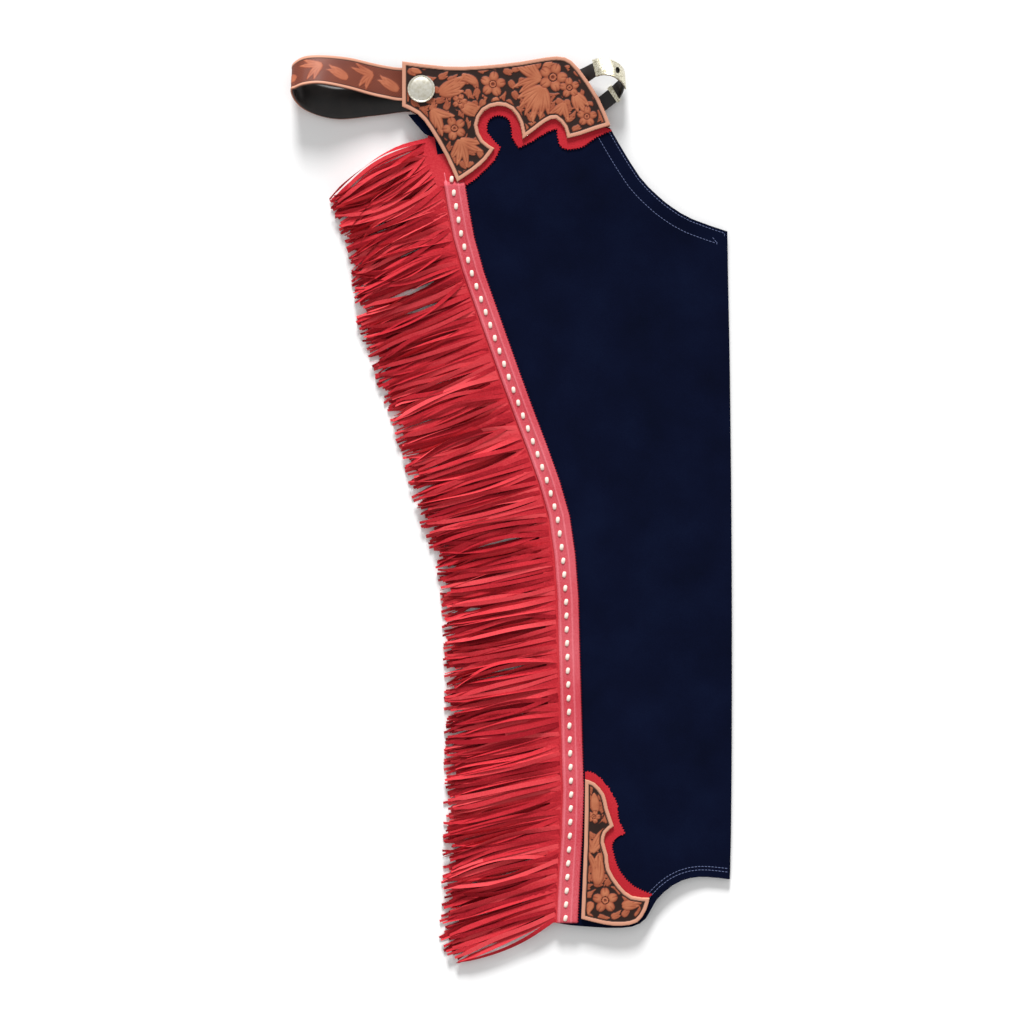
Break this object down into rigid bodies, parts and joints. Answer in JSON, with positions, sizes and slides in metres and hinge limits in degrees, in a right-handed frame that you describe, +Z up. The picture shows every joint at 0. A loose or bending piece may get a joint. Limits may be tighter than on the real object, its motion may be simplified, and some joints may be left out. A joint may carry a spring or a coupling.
{
  "type": "folded western fringed chaps",
  "caption": "Suede riding chaps with tooled leather yokes, laced side fringe, silver domes and a belt loop, folded in half and lying flat",
  "frame": {"origin": "centre of the folded pair's outline, at the surface that it lies on", "axes": "+Y from the hem to the waist, +X from the fringe to the front fold, +Z up from the surface"},
  "size_m": [0.5063, 1.0493, 0.043],
  "materials": {
    "navy_suede": "napped suede, matt",
    "red_suede": "split suede, matt",
    "tooled_leather": "vegetable tanned, carved, antiqued, satin",
    "black_leather": "smooth black leather, satin",
    "silver": "aged silver plate, polished high spots"
  },
  "bodies": {
    "root": {"leg_panel_upper": "navy_suede", "leg_panel_under": "navy_suede", "yoke_underlay_upper": "red_suede", "yoke_underlay_under": "red_suede", "fringe_upper": "red_suede", "fringe_under": "red_suede", "fringe_trim_upper": "red_suede", "fringe_trim_under": "red_suede", "heel_underlay_upper": "red_suede", "heel_underlay_under": "red_suede", "yoke_upper": "tooled_leather", "yoke_under": "tooled_leather", "heel_plate_upper": "tooled_leather", "heel_plate_under": "tooled_leather", "belt": "tooled_leather", "belt_lining": "black_leather", "front_strap": "black_leather", "concho_upper": "silver", "concho_under": "silver", "buckle": "silver", "strap_keeper": "silver"}
  },
  "joints": []
}
